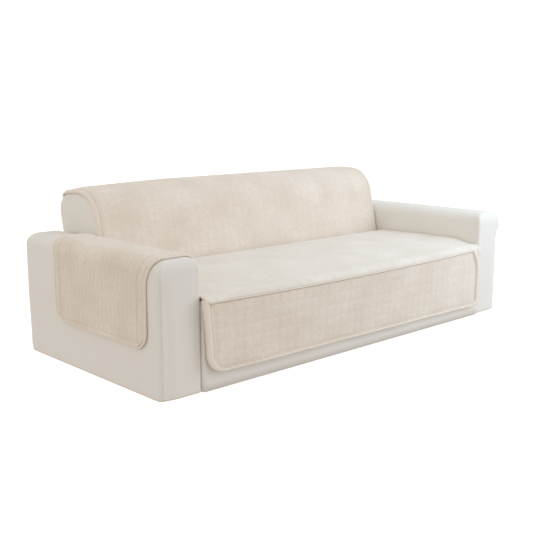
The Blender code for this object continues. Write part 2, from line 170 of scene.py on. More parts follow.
def coatedUpholstery():
    # Polyurethane-coated upholstery, embossed with a fine grain: a broad, soft gloss that fades
    # evenly over padded edges, and hardly any texture from across a room
    material, tree = newMaterial("coatedUpholstery")
    place = addNode(tree, "TexCoord").outputs["Object"]
    clouds = {"Scale": upholstery["cloudsPerMetre"], "Detail": 3.0, "Roughness": 0.5}
    cloudy = addNode(tree, "TexNoise", clouds, {"Vector": place})
    tones = {"data_type": "RGBA", 6: linear(upholstery["light"]), 7: linear(upholstery["shade"])}
    colour = addNode(tree, "Mix", tones, {0: cloudy})
    apart = addNode(tree, "SeparateXYZ", links={0: place})
    # painted shade: a thin tan line along the arms' foot, just above the bottom edge's round
    fromFootShade = addNode(tree, "Math", {"operation": "SUBTRACT", 1: upholstery["footShadeHeight"]},
                       {0: apart.outputs["Z"]})
    fromFootShade = addNode(tree, "Math", absolute, {0: fromFootShade})
    full, faded = upholstery["footShadeWidths"]
    fade = {"interpolation_type": "SMOOTHSTEP", "From Min": full, "From Max": faded, "To Min": 0.45,
            "To Max": 0.0}
    paintedFootShade = addNode(tree, "MapRange", fade, {"Value": fromFootShade})
    sideways = addNode(tree, "Math", {"operation": "SUBTRACT", 1: toPart.x}, {0: apart.outputs["X"]})
    sideways = addNode(tree, "Math", absolute, {0: sideways})
    onArms = addNode(tree, "Math", {"operation": "GREATER_THAN", 1: innerX}, {0: sideways})
    paintedFootShade = addNode(tree, "Math", times, {0: paintedFootShade, 1: onArms})
    withPaintedShade = addNode(tree, "Mix", {"data_type": "RGBA", 7: linear(upholstery["footShade"])},
                    {0: paintedFootShade, 6: colour.outputs[2]})
    pebbles = {"Scale": 1.0 / upholstery["grain"], "feature": "SMOOTH_F1"}
    grain = addNode(tree, "TexVoronoi", pebbles, {"Vector": place})
    folds = {"Scale": upholstery["slackPerMetre"], "Detail": 2.0}
    slack = addNode(tree, "TexNoise", folds, {"Vector": place})
    broad = addNode(tree, "Bump", {"Strength": 0.25, "Distance": 0.004}, {"Height": slack})
    fine = addNode(tree, "Bump", {"Strength": 0.10, "Distance": 0.0003},
                   {"Height": grain.outputs["Distance"], "Normal": broad})
    rough = addNode(tree, "MapRange", {"To Min": 0.55, "To Max": 0.66}, {"Value": cloudy})
    gloss = {"IOR": 1.5, "Specular IOR Level": 0.22, "Sheen Weight": 0.08}
    links = {"Base Color": withPaintedShade.outputs[2], "Roughness": rough, "Normal": fine}
    return finishMaterial(material, gloss, links)


quilt = {
    # the colour of the painted shade in sewn lines, beside bindings and in creases
    "seam": "#B99F7E",
    "yarn": 0.0045,  # 1.2 mm yarns, drawn coarser so that the weave shows
    "lineWidth": 0.0022,  # half the width of a sewn line, drawn wider than the 1 mm thread
    "patchesPerMetre": 14.0,
    "tonesPerMetre": 5.0,
}
bandGap = 0.314  # how far apart a wave texture's bands lie at scale 1


def quiltedCotton(name, cover, pitch):
    # Brushed cotton quilted to wadding: matt and a little fuzzy, with mottled yarns, and painted shade in the
    # seam colour along its sewn lines, where the thread pulls it into grooves. Its lines follow the piece's
    # own map, in metres along and down
    material, tree = newMaterial(name)
    uv = addNode(tree, "UVMap", {"uv_map": "alongDown"})
    apart = addNode(tree, "SeparateXYZ", links={0: uv})
    fromEdge = addNode(tree, "Attribute", {"attribute_name": "fromEdge"}).outputs["Fac"]
    inner, outer, shown = [], [], []
    for axis, step in zip("XY", pitch):
        if step:
            inner.append(addNode(tree, "Math", {"operation": "PINGPONG", 1: step / 2},
                                 {0: apart.outputs[axis]}))
    for line in cover["edgeLines"]:
        off = addNode(tree, "Math", {"operation": "SUBTRACT", 1: line}, {0: fromEdge})
        outer.append(addNode(tree, "Math", absolute, {0: off}))
    for distances, strength in ((inner, cover["stitchShade"]), (outer, cover["edgeShade"])):
        nearest = distances[0]
        for other in distances[1:]:
            nearest = addNode(tree, "Math", {"operation": "MINIMUM"}, {0: nearest, 1: other})
        fade = {"interpolation_type": "SMOOTHSTEP", "From Min": 0.0, "From Max": quilt["lineWidth"],
                "To Min": strength, "To Max": 0.0}  # painted shade, dark where the thread pulls the quilt into a groove
        shown.append(addNode(tree, "MapRange", fade, {"Value": nearest}))
    # the inner lines stop at the last edge line, and come and go
    last = cover["edgeLines"][-1]
    within = addNode(tree, "MapRange", {"From Min": last, "From Max": last + 0.002}, {"Value": fromEdge})
    patchy = addNode(tree, "TexNoise", {"Scale": quilt["patchesPerMetre"], "Detail": 2.0}, {"Vector": uv})
    patches = {"From Min": 0.35, "From Max": 0.65, "To Min": 0.3, "To Max": 1.0}
    patchy = addNode(tree, "MapRange", patches, {"Value": patchy})
    within = addNode(tree, "Math", times, {0: within, 1: patchy})
    stitched = addNode(tree, "Math", times, {0: shown[0], 1: within})
    sewn = addNode(tree, "Math", {"operation": "MAXIMUM"}, {0: stitched, 1: shown[1]})
    mottles = {"Scale": 1.0 / (quilt["yarn"] * 4), "Detail": 5.0, "Roughness": 0.65}
    mottle = addNode(tree, "TexNoise", mottles, {"Vector": uv})
    broad = addNode(tree, "TexNoise", {"Scale": quilt["tonesPerMetre"], "Detail": 2.0}, {"Vector": uv})
    mixed = addNode(tree, "Math", times, {0: mottle, 1: broad})
    tone = addNode(tree, "MapRange", {"From Min": 0.12, "From Max": 0.42}, {"Value": mixed})
    tones = {"data_type": "RGBA", 6: linear(cover["shade"]), 7: linear(cover["light"])}
    colour = addNode(tree, "Mix", tones, {0: tone})
    # the seam colour mixed in as painted shade along those lines
    withPaintedShade = addNode(tree, "Mix", {"data_type": "RGBA", 7: linear(quilt["seam"])},
                    {0: sewn, 6: colour.outputs[2]})
    yarns = {"Scale": bandGap / quilt["yarn"], "Distortion": 1.2, "Detail": 1.0}
    warp = addNode(tree, "TexWave", {**yarns, "bands_direction": "X"}, {"Vector": uv})
    weft = addNode(tree, "TexWave", {**yarns, "bands_direction": "Y"}, {"Vector": uv})
    weave = addNode(tree, "Math", times, {0: warp.outputs["Fac"], 1: weft.outputs["Fac"]})
    fuzz = addNode(tree, "Math", plus, {0: weave, 1: mottle})
    raised = addNode(tree, "Bump", {"Strength": 0.4, "Distance": 0.0008}, {"Height": fuzz})
    matt = {"Roughness": 0.92, "Specular IOR Level": 0.2, "Sheen Weight": 0.25, "Sheen Roughness": 0.5}
    return finishMaterial(material, matt, {"Base Color": withPaintedShade.outputs[2], "Normal": raised})


tape = {
    "light": "#F3EADE",
    "shade": "#E7DBCC",
    "rib": 0.004,  # 1 mm ribs of the tape, drawn coarser
}


def wovenTape():
    # Bias-cut cotton tape, folded over the quilt's edge: as pale as the quilt but smooth, with
    # slanting ribs and a faint shine along the roll
    material, tree = newMaterial("wovenTape")
    place = addNode(tree, "TexCoord").outputs["Object"]
    turned = addNode(tree, "Mapping", {"Rotation": (0.6, 0.5, 0.8)}, {"Vector": place})
    bands = {"Scale": bandGap / tape["rib"], "Distortion": 0.8, "Detail": 1.0}
    ribs = addNode(tree, "TexWave", bands, {"Vector": turned})
    mottle = addNode(tree, "TexNoise", {"Scale": 60.0, "Detail": 4.0}, {"Vector": place})
    tones = {"data_type": "RGBA", 6: linear(tape["shade"]), 7: linear(tape["light"])}
    colour = addNode(tree, "Mix", tones, {0: mottle})
    both = addNode(tree, "Math", plus, {0: ribs.outputs["Fac"], 1: mottle})
    raised = addNode(tree, "Bump", {"Strength": 0.3, "Distance": 0.0005}, {"Height": both})
    satin = {"Roughness": 0.8, "Sheen Weight": 0.15}
    return finishMaterial(material, satin, {"Base Color": colour.outputs[2], "Normal": raised})


# modelling tools


def startBlock(name, low, high):  # a cube placed and sized by its two corners, left in edit mode
    bpy.ops.object.select_all(action="DESELECT")
    middle = [(a + b) / 2 for a, b in zip(low, high)]
    bpy.ops.mesh.primitive_cube_add(size=1, location=middle)
    block = bpy.context.object
    block.name = name
    block.scale = [b - a for a, b in zip(low, high)]
    bpy.ops.object.transform_apply(location=True, rotation=True, scale=True)
    bpy.ops.object.mode_set(mode="EDIT")
    return block


def pick(kind, test):  # selects what passes the test, given its corners
    bpy.ops.mesh.select_all(action="DESELECT")
    bpy.ops.mesh.select_mode(type=kind)
    data = bpy.context.object.data
    mesh = bmesh.from_edit_mesh(data)
    for item in {"VERT": mesh.verts, "EDGE": mesh.edges, "FACE": mesh.faces}[kind]:
        corners = [item.co] if kind == "VERT" else [v.co for v in item.verts]
        if test(corners):
            item.select_set(True)
    bmesh.update_edit_mesh(data)


def near(corners, axis, value):  # whether they all lie there
    return all(abs(c[axis] - value) < 1e-5 for c in corners)


def runsAlong(corners, axis):
    return all(abs(corners[0][k] - corners[1][k]) < 1e-5 for k in range(3) if k != axis)


def slices(axis, places):
    for place in places:
        bpy.ops.mesh.select_all(action="SELECT")
        point = [place if k == axis else 0.0 for k in range(3)]
        bpy.ops.mesh.bisect(plane_co=point, plane_no=[float(k == axis) for k in range(3)])


def roundEdges(test, offset, segments):
    pick("EDGE", test)
    bpy.ops.mesh.bevel(offset=offset, segments=segments, affect="EDGES")


def extrudeUp(height):
    bpy.ops.mesh.extrude_region_move(TRANSFORM_OT_translate={"value": (0.0, 0.0, height)})


def evenly(low, high, steps):  # the places between low and high
    return [between(low, high, k / steps) for k in range(1, steps)]


def finishBlock(block, material, shape, node):
    bpy.ops.mesh.select_all(action="SELECT")
    bpy.ops.mesh.remove_doubles(threshold=1e-5)
    bpy.ops.mesh.normals_make_consistent(inside=False)
    bpy.ops.object.mode_set(mode="OBJECT")
    mesh = block.data
    for point in mesh.vertices:
        point.co = shape(*point.co)
    mesh.transform(Matrix.Translation(toPart))
    mesh.shade_smooth()
    mesh.materials.append(material)
    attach(block, "root")
    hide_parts(node)
    print(block.name, "modelled")
    return block


# the sofa

arm = {
    "topRound": 0.054,  # the two long top edges
    "endRound": 0.034,  # the top edges at front and rear
    "rearRound": 0.020,
    "innerRound": 0.012,  # the front corners, which are crisper
    "outerRound": 0.010,
    "footRound": 0.004,
    "roundSteps": 14,
    "cuts": (14, 34, 16),  # even ones across, along and up
    "endRows": (0.023, 0.034, 0.045, 0.056),  # closer cuts, from the front and the rear
    "seamRows": (0.0125, 0.014, 0.016, 0.020, 0.025, 0.032, 0.046),  # and from the outer side
    "unevenness": 0.0009,
    "unevenSize": 0.14,
    "pillow": 0.002,  # how far the faces draw back to their upright corners
    "pillowReach": 0.075,
    "seamDepth": 0.003,  # the sewn seam up the outer front corner
    "seamWidth": 0.004,
    "seamTop": 0.47,
    "recess": (0.008, 0.070),  # the front draws back towards that seam, and how far that reaches
    "heel": 0.014,  # the rear foot's soft corner, how high it goes and how far along
    "heelReach": (0.03, 0.08),
    "rearSwell": 0.008,  # how far its rear bulges above that
    "swellRise": (0.04, 0.30),
}


def makeArm(name, middleX, node, material):
    wide, deep, high = sofa["armWidth"] / 2, sofa["armDepth"], sofa["armHeight"]
    shoulder = high - arm["topRound"]
    block = startBlock(name, (middleX - wide, 0.0, 0.0), (middleX + wide, deep, shoulder))
    outer = math.copysign(1.0, middleX)
    for x, size in ((middleX + outer * wide, arm["outerRound"]), (middleX - outer * wide, arm["innerRound"])):
        roundEdges(lambda c: runsAlong(c, 2) and near(c, 0, x) and near(c, 1, 0.0), size, segments=6)
    roundEdges(lambda c: runsAlong(c, 2) and near(c, 1, deep), arm["rearRound"], segments=8)
    roundEdges(lambda c: near(c, 2, 0.0), arm["footRound"], segments=3)
    pick("FACE", lambda c: near(c, 2, shoulder))
    halfX, halfY, z = wide, deep / 2, shoulder
    for k in range(1, arm["roundSteps"] + 1):
        swing = quarter * k / arm["roundSteps"]
        nextX = wide - arm["topRound"] * (1 - math.cos(swing))
        nextY = deep / 2 - arm["endRound"] * (1 - math.cos(swing))
        nextZ = shoulder + arm["topRound"] * math.sin(swing)
        extrudeUp(nextZ - z)
        bpy.ops.transform.resize(value=(nextX / halfX, nextY / halfY, 1.0),
                                 center_override=(middleX, deep / 2, nextZ))
        halfX, halfY, z = nextX, nextY, nextZ
    slices(1, evenly(0.0, deep, arm["cuts"][1]))
    slices(2, evenly(0.0, shoulder, arm["cuts"][2]))
    slices(0, evenly(middleX - wide, middleX + wide, arm["cuts"][0]))
    slices(1, [place for row in arm["endRows"] for place in (row, deep - row)])
    slices(0, [middleX + outer * (wide - row) for row in arm["seamRows"]])
    corner = Vector((middleX + outer * (wide - arm["outerRound"]), arm["outerRound"], 0.0))
    rounded = corner + Vector((outer, -1.0, 0.0)).normalized() * arm["outerRound"]

    def soften(x, y, z):  # the wadding isn't dead flat: it sinks from the block's faces, or swells behind
        sunk = arm["unevenness"] * (1 + wander(y + x * 3, z, arm["unevenSize"], middleX)) / 2
        top = smooth(z, shoulder, high)
        fromSide, fromEnd = wide - abs(x - middleX), min(y, deep - y)
        side = math.copysign(1.0, x - middleX) * smooth(abs(x - middleX), wide * 0.8, wide)
        end = (1.0 if y < deep / 2 else -1.0) * smooth(-fromEnd, -0.012, 0.0)
        nearEnd = max(1 - fromEnd / arm["pillowReach"], 0.0) ** 2
        nearSide = max(1 - fromSide / arm["pillowReach"], 0.0) ** 2
        seam = arm["seamDepth"] * hump(math.hypot(x - rounded.x, y - rounded.y), 0.0, arm["seamWidth"])
        recess, recessReach = arm["recess"]
        fromSeam = wide - outer * (x - middleX) - arm["outerRound"]
        seam += recess * (1 - smooth(fromSeam, 0.0, recessReach)) * smooth(-y, -0.03, 0.0)
        seam *= 1 - smooth(z, arm["seamTop"] - 0.05, arm["seamTop"])
        heelHigh, heelLong = arm["heelReach"]
        heel = arm["heel"] * max(1 - z / heelHigh, 0.0) ** 2 * smooth(y, deep - heelLong, deep)
        swell = arm["rearSwell"] * smooth(y, deep * 0.8, deep) * smooth(z, *arm["swellRise"])
        low = 1 - top
        inward = side * (sunk + arm["pillow"] * nearEnd) + outer * seam
        back = end * arm["pillow"] * nearSide * 0.6 + seam
        return Vector((x - low * inward, y + low * back + swell - heel, z - sunk * top))

    return finishBlock(block, material, soften, node)


seat = {
    "top": 0.3876,
    "crown": 0.008,  # higher half-way back
    "sag": 0.007,  # the front edge's dip at mid-width
    "bow": 0.020,  # its swell forward
    "cornerReach": 0.150,
    "cornerSquash": 0.72,
    "frontReach": 0.250,
    "noseRound": 0.024,
    "noseCentreY": 0.002,
    "noseRelief": 0.004,
    "rearRound": 0.018,
    "baseRound": 0.014,
    "baseTop": 0.325,
    "baseProud": 0.008,
    "creviceWidth": 0.026,
    "creviceFloor": 0.335,
    "tuck": 0.345,  # where the two panels end in the crevice
    "cuts": (40, 22, 8),  # even ones across, back and up
    "endRows": (0.9, 0.93, 0.955, 0.975, 0.99),  # closer ones, as shares of its half width
}

back = {
    "frontY": 0.7015,
    "rearY": 1.066,
    "height": 0.7445,
    "lean": 0.20,  # metres back for each metre up
    "frontRound": 0.150,
    "rearRound": 0.062,
    "halfLength": 0.946,
    "endRound": 0.022,
    "dip": 0.012,  # the filling has sunk at the left end
    "dipReach": 0.600,
    "droop": 0.012,  # its rear corner has sunk further
    "droopX": -0.84,
    "droopY": 0.92,
    "cheek": 0.014,  # how far its ends bulge above the arms, behind the cover
    "cheekRise": (0.50, 0.67),
    "cheekDepth": (0.10, 0.19),  # where it starts and is full, back from the front
    "cuts": (44, 12, 12),  # even ones across, back and up
}

seatHalf = innerX - sofa["solidGap"]
seatRearY = back["frontY"] - seat["creviceWidth"]
seamZ = seat["top"] - seat["noseRound"]


def seatShape(x, y, z):  # the flat seat with its crown, sag, bow and soft front corners
    across = 1.0 - (x / seatHalf) ** 2
    front = across * (1 - smooth(y, 0.0, seat["frontReach"]))
    halfWay = math.sin(math.pi * min(max(y / seatRearY, 0.0), 1.0))
    crowned = z + (seat["crown"] * halfWay if z > seamZ else 0.0)
    fromCorner = math.hypot(seatHalf - abs(x), max(y, 0.0))
    squash = seat["cornerSquash"] * (1 - smooth(fromCorner, 0.02, seat["cornerReach"]))
    top = crowned - squash * max(crowned - seamZ, 0.0) - seat["sag"] * front
    return Vector((x, y - seat["bow"] * front, top))


def makeSeat(material):
    rearY = back["frontY"] - sofa["solidGap"]
    baseTop = seat["baseTop"] - seat["sag"]
    noseY = seat["noseCentreY"] - seat["noseRound"] + seat["noseRelief"]
    block = startBlock("seatAndBase", (-seatHalf, -seat["baseProud"], 0.0), (seatHalf, rearY, baseTop))
    roundEdges(lambda c: runsAlong(c, 2) and near(c, 1, -seat["baseProud"]), seat["baseRound"], segments=6)
    slices(1, [seatRearY])
    pick("FACE", lambda c: near(c, 2, baseTop))
    extrudeUp(seat["creviceFloor"] - baseTop)
    pick("VERT", lambda c: near(c, 2, seat["creviceFloor"]) and c[0][1] < seat["baseRound"])
    bpy.ops.transform.resize(value=(1.0, 0.0, 1.0), center_override=(0.0, noseY, 0.0))
    top = seat["top"] - seat["noseRelief"] / 2
    pick("FACE", lambda c: near(c, 2, seat["creviceFloor"]) and max(p[1] for p in c) < seatRearY + 1e-5)
    extrudeUp(top - seat["creviceFloor"])
    noseRound = seat["noseRound"] - seat["noseRelief"] / 2
    roundEdges(lambda c: near(c, 2, top) and near(c, 1, noseY), noseRound, segments=10)
    roundEdges(lambda c: near(c, 2, top) and near(c, 1, seatRearY), seat["rearRound"], segments=5)
    across, backward, upward = seat["cuts"]
    slices(1, evenly(noseY + 0.03, seatRearY - 0.02, backward))
    edges = [seatHalf * share for share in seat["endRows"]]
    slices(0, evenly(-seatHalf * 0.87, seatHalf * 0.87, across) + edges + [-edge for edge in edges])
    slices(2, evenly(0.0, baseTop, upward))

    def shaped(x, y, z):  # the base under it stays straight
        return seatShape(x, y, z) if z > baseTop + 0.001 else Vector((x, y, z))

    return finishBlock(block, material, shaped, "sofa_seat")


def dipped(x, y, z):
    leftX = -back["halfLength"]
    sunk = back["dip"] * (1 - smooth(x, leftX, leftX + back["dipReach"]))
    atLeft = 1 - smooth(x, leftX, back["droopX"])
    sunk += back["droop"] * atLeft * smooth(y, back["droopY"], back["rearY"])
    share = max(z - seat["tuck"], 0.0) / (back["height"] - seat["tuck"])
    return Vector((x, y, z - sunk * share))


def cheeked(x, y, z):
    out = smooth(z, *back["cheekRise"]) * (1 - smooth(z, back["cheekRise"][1] - 0.01, back["height"]))
    out *= smooth(y - back["frontY"], *back["cheekDepth"])
    out *= back["cheek"] * smooth(abs(x), back["halfLength"] - 0.05, back["halfLength"])
    return dipped(x + math.copysign(out, x), y, z)


def makeBackrest(material):
    half, high = back["halfLength"], back["height"]
    leanY = back["frontY"] + (high - seat["tuck"]) * back["lean"]
    block = startBlock("backrest", (-half, back["frontY"], 0.0), (half, back["rearY"], high))
    slices(2, [seat["tuck"]])
    pick("EDGE", lambda c: near(c, 2, high) and near(c, 1, back["frontY"]))
    bpy.ops.transform.translate(value=(0.0, leanY - back["frontY"], 0.0))
    turn = quarter - math.atan(back["lean"])
    frontRound = back["frontRound"] * math.tan(turn / 2)
    roundEdges(lambda c: near(c, 2, high) and near(c, 1, leanY), frontRound, segments=20)
    roundEdges(lambda c: near(c, 2, high) and near(c, 1, back["rearY"]), back["rearRound"], segments=12)
    roundEdges(lambda c: (near(c, 0, half) or near(c, 0, -half)) and not near(c, 2, 0.0)
               and not near(c, 2, seat["tuck"]), back["endRound"], segments=6)
    across, backward, upward = back["cuts"]
    slices(0, evenly(-half + back["endRound"], half - back["endRound"], across))
    crownZ = high - 0.14  # the cuts lie closer above this
    slices(2, evenly(0.0, crownZ, upward) + [crownZ + 0.012 * k for k in range(1, 6)])
    slices(1, evenly(back["frontY"] + 0.06, back["rearY"] - 0.06, backward))
    return finishBlock(block, material, cheeked, "sofa_backrest")


# the sections that the cloth follows


class Section:  # straight runs and arcs, each (length, turn to the left), read by their length
    def __init__(self, start, heading, runs, outward):
        self.outward, self.runs, reach, point = outward, [], 0.0, Vector(start)
        for length, turn in runs:
            self.runs.append((reach, length, turn, point, heading))
            point = self.walk(point, heading, length, turn, length)
            heading += turn
            reach += length
        self.length = reach

    @staticmethod
    def walk(point, heading, length, turn, local):
        if not turn:
            return point + local * Vector((math.cos(heading), math.sin(heading)))
        swung = heading + turn * local / length
        shift = (math.sin(swung) - math.sin(heading), math.cos(heading) - math.cos(swung))
        return point + length / turn * Vector(shift)

    def at(self, reach):  # the point there, and the unit vector outward
        for start, length, turn, point, heading in self.runs:
            if reach <= start + length:
                break
        local = min(max(reach - start, 0.0), length)
        swung = heading + turn * local / length
        ahead = Vector((math.cos(swung), math.sin(swung)))
        place = self.walk(point, heading, length, turn, local) + (reach - start - local) * ahead
        return place, self.outward * Vector((ahead.y, -ahead.x))

    def start(self, run):
        return self.runs[run][0]


def gapUnder(share):  # under cloth; the share is how far it goes round an edge there
    return between(cloth["restingGap"], cloth["edgeGap"], share)


armCover = {
    "dropInside": 0.075,
    "dropOutside": 0.306,  # below the long edge's round
    "hemGap": 0.003,  # how far the outside hem stands off
    "flapY": (0.081, 0.763),  # where it begins and ends on the outside
    "topY": (0.034, 0.782),  # and on top
    "insideRearY": 0.692,
    "corners": (0.050, 0.075),  # inside and outside
    "cornerSteps": 26,
    "closeRows": (0.07, 0.0028),  # near both ends: how far in, and how far apart
    "straight": (0.07, 0.105),  # how far from each end its rows run straight
    "rowGap": 0.006,  # between them
    "bindings": (0.011, 0.011, 0.011),  # left, right and both ends
    "channel": 0.060,
    "channelSteps": 9,
    "channelDepth": 0.0022,
    "grooveDepth": 0.0024,
    "bulge": 0.0045,  # of the padded border inside the binding
    "edgeLines": (0.0435, 0.060),  # sewn lines, from the front and rear edges
    "hemLines": 2.2,  # times closer to the two hems
    # how dark the painted shade is along its channel lines and its edge lines
    "stitchShade": 0.28,
    "edgeShade": 0.60,
    "light": "#F2E9DC",
    "shade": "#E4D7C8",
}
armWidthAcross = armCover["flapY"][1] - armCover["flapY"][0]
armSection = Section(
    (-innerX, sofa["armHeight"] - arm["topRound"] - armCover["dropInside"]), quarter,
    ((armCover["dropInside"], 0.0), (arm["topRound"] * quarter, quarter),
     (sofa["armWidth"] - 2 * arm["topRound"], 0.0), (arm["topRound"] * quarter, quarter),
     (armCover["dropOutside"], 0.0)), 1)


def onArm(along, down, lift):
    place, out = armSection.at(down)
    bendEnd = armSection.start(4)
    flap = smooth(down, armSection.start(3), bendEnd + arm["topRound"])
    front = between(armCover["topY"][0], armCover["flapY"][0], flap)
    rear = between(armCover["topY"][1], armCover["flapY"][1], flap)
    rear = between(armCover["insideRearY"], rear, smooth(down, armSection.start(1), armSection.start(2)))
    gap = gapUnder(min(abs(out.x), abs(out.y)) * math.sqrt(2))
    gap += (armCover["hemGap"] - cloth["restingGap"]) * smooth(down, bendEnd, armSection.length)
    place = place + (gap + lift) * out
    return Vector((place.x, between(front, rear, along / armWidthAcross), place.y))


backCover = {
    "dropRear": 0.160,
    "rearNarrower": 0.035,  # the flap behind, as a share of its width
    "halfLength": 0.9482,  # measured round the ends
    "corners": (0.030, 0.030),
    "cornerSteps": 12,
    "closeRows": (0.04, 0.0033),
    "straight": (0.06, 0.06),
    "bindings": (0.018, 0.018, 0.018),
    "square": (0.049, 0.056),
    "squareSteps": (7, 8),
    "squareDepth": 0.0011,
    "edgeLines": (0.0225, 0.029),
    "hemLines": 1.0,
    # how dark the painted shade is along its square lines and beside its binding
    "stitchShade": 0.12,
    "edgeShade": 0.32,
    "light": "#F2E6DA",
    "shade": "#E3D5C5",
}


def backSection():
    lean = math.atan(back["lean"])
    rise = back["height"] - back["frontRound"] * (1 - math.sin(lean)) - seat["tuck"]
    topY = back["frontY"] + rise * back["lean"] + back["frontRound"] * math.cos(lean)
    runs = ((rise / math.cos(lean), 0.0), (back["frontRound"] * (quarter - lean), lean - quarter),
            (back["rearY"] - back["rearRound"] - topY, 0.0), (back["rearRound"] * quarter, -quarter),
            (backCover["dropRear"], 0.0))
    return Section((back["frontY"], seat["tuck"]), quarter - lean, runs, -1)


backLine = backSection()


def onBack(along, down, lift):
    place, out = backLine.at(down)
    behind = smooth(down, backLine.start(3) + 0.02, backLine.start(4) + 0.02)
    along *= 1.0 - backCover["rearNarrower"] * behind
    overTop = smooth(down, backLine.start(1) - 0.05, backLine.start(1))
    overTop -= smooth(down, backLine.start(4), backLine.start(4) + 0.05)
    endRound = back["endRound"]
    flatHalf = back["halfLength"] - endRound
    turn = max(abs(along) - flatHalf, 0.0) / endRound
    roundEnd = smooth(abs(along), flatHalf - 0.02, flatHalf)
    reach = endRound + gapUnder(max(overTop, roundEnd)) + lift
    place = place + (reach * math.cos(turn) - endRound) * out
    x = math.copysign(min(abs(along), flatHalf) + reach * math.sin(turn), along)
    return dipped(x, place.x, place.y)


seatCover = {
    "halfLength": 0.954,
    "corners": (0.010, 0.034),  # in the crevice and at the hem
    "cornerSteps": 12,
    "closeRows": (0.08, 0.0026),
    "straight": (0.06, 0.09),
    "bindings": (0.010, 0.010, 0.006),
    "roll": (0.0082, 0.3),  # how thick and how square: flat, so that the seam hardly shows
    "square": (0.049, 0.052),
    "squareSteps": (6, 7),
    "squareDepth": 0.0004,
    "edgeLines": (0.060, 0.072, 0.094),
    "hemLines": 1.0,
    # how dark the painted shade is along its square lines and its edge lines
    "stitchShade": 0.03,
    "edgeShade": 0.22,
    "light": "#F3ECE2",
    "shade": "#E6DDD1",
    "spread": (-0.014, -0.044),  # its front corners move this far at the hem, left being negative
    "spreadReach": 0.090,
    "spreadStart": 0.03,  # before the front edge's round
    "curl": 0.009,  # how far its front corners rise above the edge
    "curlStart": 0.06,
    "lip": 0.005,  # how far its hem stands out over the skirt
    "knob": 0.7,  # how much thicker it is bunched in its front corners
    "knobInset": 0.010,
    "knobReach": 0.022,
}
seatSection = Section(
    (seatRearY, seat["tuck"]), quarter,
    ((seat["top"] - seat["rearRound"] - seat["tuck"], 0.0), (seat["rearRound"] * quarter, quarter),
     (seatRearY - seat["rearRound"] - seat["noseCentreY"] - seat["frontReach"], 0.0),
     (seat["frontReach"], 0.0), (seat["noseRound"] * quarter, quarter)), 1)


def onSeat(along, down, lift):
    place, out = seatSection.at(down)
    edge = smooth(down, seatSection.start(3) - 0.05, seatSection.start(3) + 0.05)
    edge += 1 - smooth(down, seatSection.start(2), seatSection.start(2) + 0.05)
    away = gapUnder(min(edge, 1.0))
    nose, hem, half = seatSection.start(4), seatSection.length, seatCover["halfLength"]
    toEnd = smooth(abs(along), half - seatCover["spreadReach"], half)
    aside = seatCover["spread"][0 if along < 0 else 1] * smooth(down, nose - seatCover["spreadStart"], hem)
    curl = smooth(down, nose - seatCover["curlStart"], nose) * (1 - smooth(down, nose + 0.005, hem))
    inset = seatCover["knobInset"]
    toCorner = math.hypot(abs(along) - half + inset, down - hem + inset)
    away += lift * (1 + seatCover["knob"] * hump(toCorner, 0.0, seatCover["knobReach"]))
    lip = seatCover["lip"] * smooth(down, nose + 0.01, hem)
    rise = away * out.y + toEnd * seatCover["curl"] * curl
    return seatShape(along, place.x, place.y) + Vector((toEnd * aside, away * out.x - lip, rise))


skirt = {
    "leftX": -0.957,
    "rightX": 0.930,
    "hemZ": 0.067,  # at mid-width
    "hemTilt": 0.007,
    "backY": -0.0235,
    "corners": (0.105, 0.068),  # at its hem, left and right
    "cornerSteps": 18,
    "closeRows": (0.06, 22),  # above its hem: how high, and how many
    "straight": 0.12,
    "shoulders": (0.024, -0.050),  # how far its top corners stand out, or in where negative
    "shoulderDrops": (0.300, 0.110),  # where down each side that has faded out
    "shoulderReach": 0.250,
    "peak": 0.016,  # its top left corner rises under the seat cover's round one
    "peakRise": (0.934, 0.956),  # where that starts and is full, left of the middle
    "peakFall": (0.978, 1.000),  # and fades out again
    "wave": 0.003,
    "waveTurns": ((9.0, 0.6), (21.0, 2.0)),  # its two waves: radians per metre, and at the middle
    "bindings": (0.034, 0.034, 0.013),  # the rolls at its left, right and hem
    "square": (0.048, 0.055),
    "squareSteps": (8, 9),
    "squareDepth": 0.0018,
    "valley": (0.0028, 0.016, 0.011),  # a soft trough beside its bindings: depth, distance and width
    "edgeLines": (0.0045,),  # from its bindings, a line of painted shade beside its rolls
    "hemLines": 2.5,  # times closer to the hem
    "lipShadowWidth": 0.006,  # the band of painted shadow under the seat cover's lip
    # how dark the painted shade is along its square lines, and beside its rolls and under the seat cover's
    # lip
    "stitchShade": 0.11,
    "edgeShade": 0.85,
    "light": "#F5ECE0",
    "shade": "#E7DACB",
}
skirtDrop = seamZ - skirt["hemZ"]


def onSkirt(along, down, lift):
    share = down / skirtDrop
    high = [max(1 - down / drop, 0.0) ** 2 for drop in skirt["shoulderDrops"]]
    toLeft = 1 - smooth(along, skirt["leftX"], skirt["leftX"] + skirt["shoulderReach"])
    toRight = smooth(along, skirt["rightX"] - skirt["shoulderReach"], skirt["rightX"])
    x = along + high[1] * skirt["shoulders"][1] * toRight - high[0] * skirt["shoulders"][0] * toLeft
    front = seatSection.at(seatSection.length)[0]
    seam = seatShape(x, front.x, front.y)
    (slow, slowStart), (quick, quickStart) = skirt["waveTurns"]
    wave = (math.sin(slow * along + slowStart) + 0.6 * math.sin(quick * along + quickStart)) / 1.6
    bow = seat["bow"] * (1.0 - (along / seatHalf) ** 2)
    y = skirt["backY"] - bow * (1.0 - share) - skirt["wave"] * share * wave - lift
    peak = skirt["peak"] * smooth(-x, *skirt["peakRise"]) * (1 - smooth(-x, *skirt["peakFall"]))
    hem = skirt["hemZ"] - skirt["hemTilt"] * along
    return Vector((x, y, between(seam.z - cloth["restingGap"] + peak, hem, share)))


# making cloth


